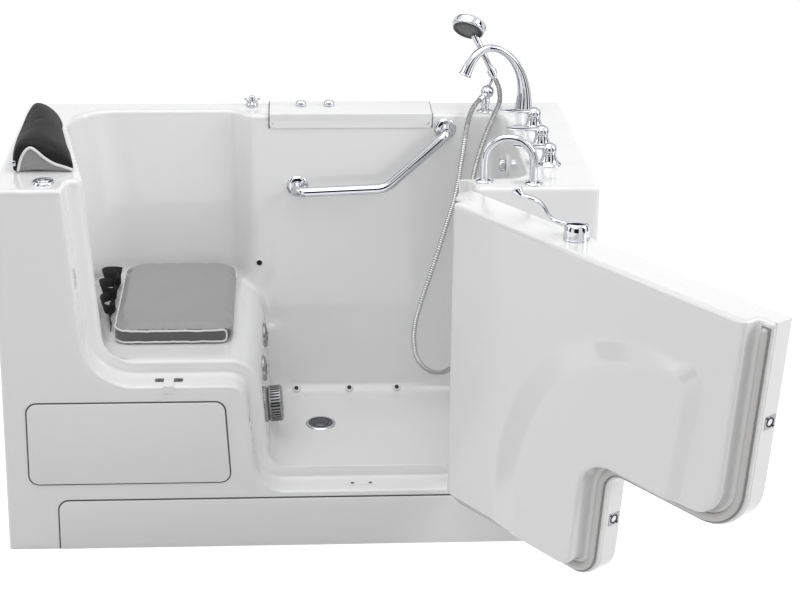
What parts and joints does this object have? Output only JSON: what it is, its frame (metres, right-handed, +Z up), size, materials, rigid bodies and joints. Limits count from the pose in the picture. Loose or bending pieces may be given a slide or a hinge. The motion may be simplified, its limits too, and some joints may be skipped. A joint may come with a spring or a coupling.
{
  "type": "walk-in bathtub",
  "caption": "Walk-in bathtub: seat tub with an outward swinging L-shaped door, lever lock with bolts, grab bars, deck taps, hand shower, jets, drain, cushion and pillow, on a steel frame.",
  "frame": {"origin": "centre of the footprint at floor level, on the underside of the middle levelling foot", "axes": "+X along the tub from the seat end to the tap end, +Y from the door side to the wall side, +Z up; the door rests open"},
  "size_m": [1.8008, 1.6448, 1.2692],
  "materials": {
    "acrylic": "white gloss acrylic",
    "panel_acrylic": "white gloss acrylic",
    "chrome": "polished chrome",
    "frame_steel": "stainless square tube, satin",
    "rubber_feet": "black rubber",
    "pipe_plastic": "white pipe plastic",
    "pump_plastic": "black pump housing",
    "valve_brass": "cast brass",
    "supply_copper": "copper tube",
    "jet_plastic": "bright bezel",
    "keeper_steel": "stainless strip",
    "gasket_silicone": "white silicone bulb",
    "cushion_vinyl": "grey padded vinyl",
    "pillow_vinyl": "black padded vinyl",
    "button_plastic": "bright push button"
  },
  "bodies": {
    "tub": {"front_wall": "acrylic", "rim_deck": "acrylic", "seat_shell": "acrylic", "well_shell": "acrylic", "access_panel": "panel_acrylic", "toe_panel": "panel_acrylic", "deck_cover": "acrylic", "base_frame": "frame_steel", "upper_frame": "frame_steel", "levelling_feet": "rubber_feet", "waste_trap": "pipe_plastic", "drain_strainer": "chrome", "overflow_plate": "chrome", "overflow_pipe": "pipe_plastic", "water_pump": "pump_plastic", "pump_pipes": "pipe_plastic", "air_blower": "pump_plastic", "air_pipes": "pipe_plastic", "jet_rings": "jet_plastic", "suction_cover": "chrome", "air_jets": "jet_plastic", "air_button_ring": "chrome", "door_catches": "keeper_steel", "bolt_keepers": "keeper_steel", "tub_hinge_leaves": "keeper_steel", "hinge_pins": "keeper_steel", "wall_bar": "chrome", "deck_bar": "chrome", "bar_roses": "chrome", "spout": "chrome", "tap_roses": "chrome", "tap_valves": "valve_brass", "supply_pipes": "supply_copper", "shower_holder": "chrome", "handset": "chrome", "hose_outlet": "chrome", "shower_hose": "chrome", "seat_cushion": "cushion_vinyl", "head_pillow": "pillow_vinyl"},
    "door": {"door_outer_panel": "acrylic", "door_inner_panel": "acrylic", "door_gasket": "gasket_silicone", "door_frame": "frame_steel", "door_hinge_leaves": "keeper_steel", "bolt_housings": "chrome"},
    "lock": {"lock_shaft": "keeper_steel", "lock_lever": "chrome"},
    "upper_bolt": {"upper_bolt": "keeper_steel"},
    "lower_bolt": {"lower_bolt": "keeper_steel"},
    "hot_lever": {"hot_lever": "chrome"},
    "diverter_lever": {"diverter_lever": "chrome"},
    "cold_lever": {"cold_lever": "chrome"},
    "air_knob_left": {"air_knob_left": "chrome"},
    "air_knob_right": {"air_knob_right": "chrome"},
    "star_handle": {"star_handle": "chrome"},
    "air_button": {"air_button": "button_plastic"},
    "drain_knob": {"drain_knob": "chrome"},
    "drain_stopper": {"drain_stopper": "chrome"},
    "jet_nozzle_front": {"jet_nozzle_front": "chrome"},
    "jet_nozzle_back": {"jet_nozzle_back": "chrome"}
  },
  "joints": [
    {"name": "door_swing", "type": "hinge", "parent": "tub", "child": "door", "pos_m": [0.4425, -0.389, 0], "axis": [0, 0, 1], "range_deg": [-126, 14]},
    {"name": "lock_turn", "type": "hinge", "parent": "door", "child": "lock", "pos_m": [0.64584, -0.74373, 0], "axis": [0, 0, 1], "range_deg": [0, 90]},
    {"name": "upper_bolt_slide", "type": "slide", "parent": "door", "child": "upper_bolt", "axis": [0.5855, -0.8059, -0.0872], "range_m": [0, 0.0227]},
    {"name": "lower_bolt_slide", "type": "slide", "parent": "door", "child": "lower_bolt", "axis": [0.5855, -0.8059, -0.0872], "range_m": [0, 0.0227]},
    {"name": "hot_turn", "type": "hinge", "parent": "tub", "child": "hot_lever", "pos_m": [0.655, 0.125, 1], "axis": [0, 0, 1], "range_deg": [0, 90]},
    {"name": "diverter_turn", "type": "hinge", "parent": "tub", "child": "diverter_lever", "pos_m": [0.655, -0.04, 1], "axis": [0, 0, 1], "range_deg": [-90, 90]},
    {"name": "cold_turn", "type": "hinge", "parent": "tub", "child": "cold_lever", "pos_m": [0.655, -0.194, 1], "axis": [0, 0, 1], "range_deg": [-90, 0]},
    {"name": "air_left_turn", "type": "hinge", "parent": "tub", "child": "air_knob_left", "pos_m": [0.013, 0.332, 1], "axis": [0, 0, 1], "range_deg": [0, 180]},
    {"name": "air_right_turn", "type": "hinge", "parent": "tub", "child": "air_knob_right", "pos_m": [0.093, 0.332, 1], "axis": [0, 0, 1], "range_deg": [0, 180]},
    {"name": "star_turn", "type": "hinge", "parent": "tub", "child": "star_handle", "pos_m": [-0.126, 0.346, 1], "axis": [0, 0, 1], "range_deg": [0, 180]},
    {"name": "air_button_press", "type": "slide", "parent": "tub", "child": "air_button", "axis": [0, 0, -1], "range_m": [0, 0.004], "stiffness_N_per_m": 600},
    {"name": "drain_knob_turn", "type": "hinge", "parent": "tub", "child": "drain_knob", "pos_m": [0.584, 0.159, 0.88], "axis": [-1, 0, 0], "range_deg": [0, 120]},
    {"name": "stopper_lift", "type": "slide", "parent": "tub", "child": "drain_stopper", "axis": [0, 0, 1], "range_m": [0, 0.0101]},
    {"name": "jet_front_turn", "type": "hinge", "parent": "tub", "child": "jet_nozzle_front", "pos_m": [-0.09356, -0.085, 0.378], "axis": [0.9962, 0, 0.0872], "range_deg": [-45, 45]},
    {"name": "jet_back_turn", "type": "hinge", "parent": "tub", "child": "jet_nozzle_back", "pos_m": [-0.09356, 0.14, 0.378], "axis": [0.9962, 0, 0.0872], "range_deg": [-45, 45]}
  ],
  "couplings": [
    {"joint": "upper_bolt_slide", "follows": "lock_turn", "m_per_rad": 0.014405},
    {"joint": "lower_bolt_slide", "follows": "lock_turn", "m_per_rad": 0.014405},
    {"joint": "stopper_lift", "follows": "drain_knob_turn", "m_per_rad": 0.004775}
  ]
}
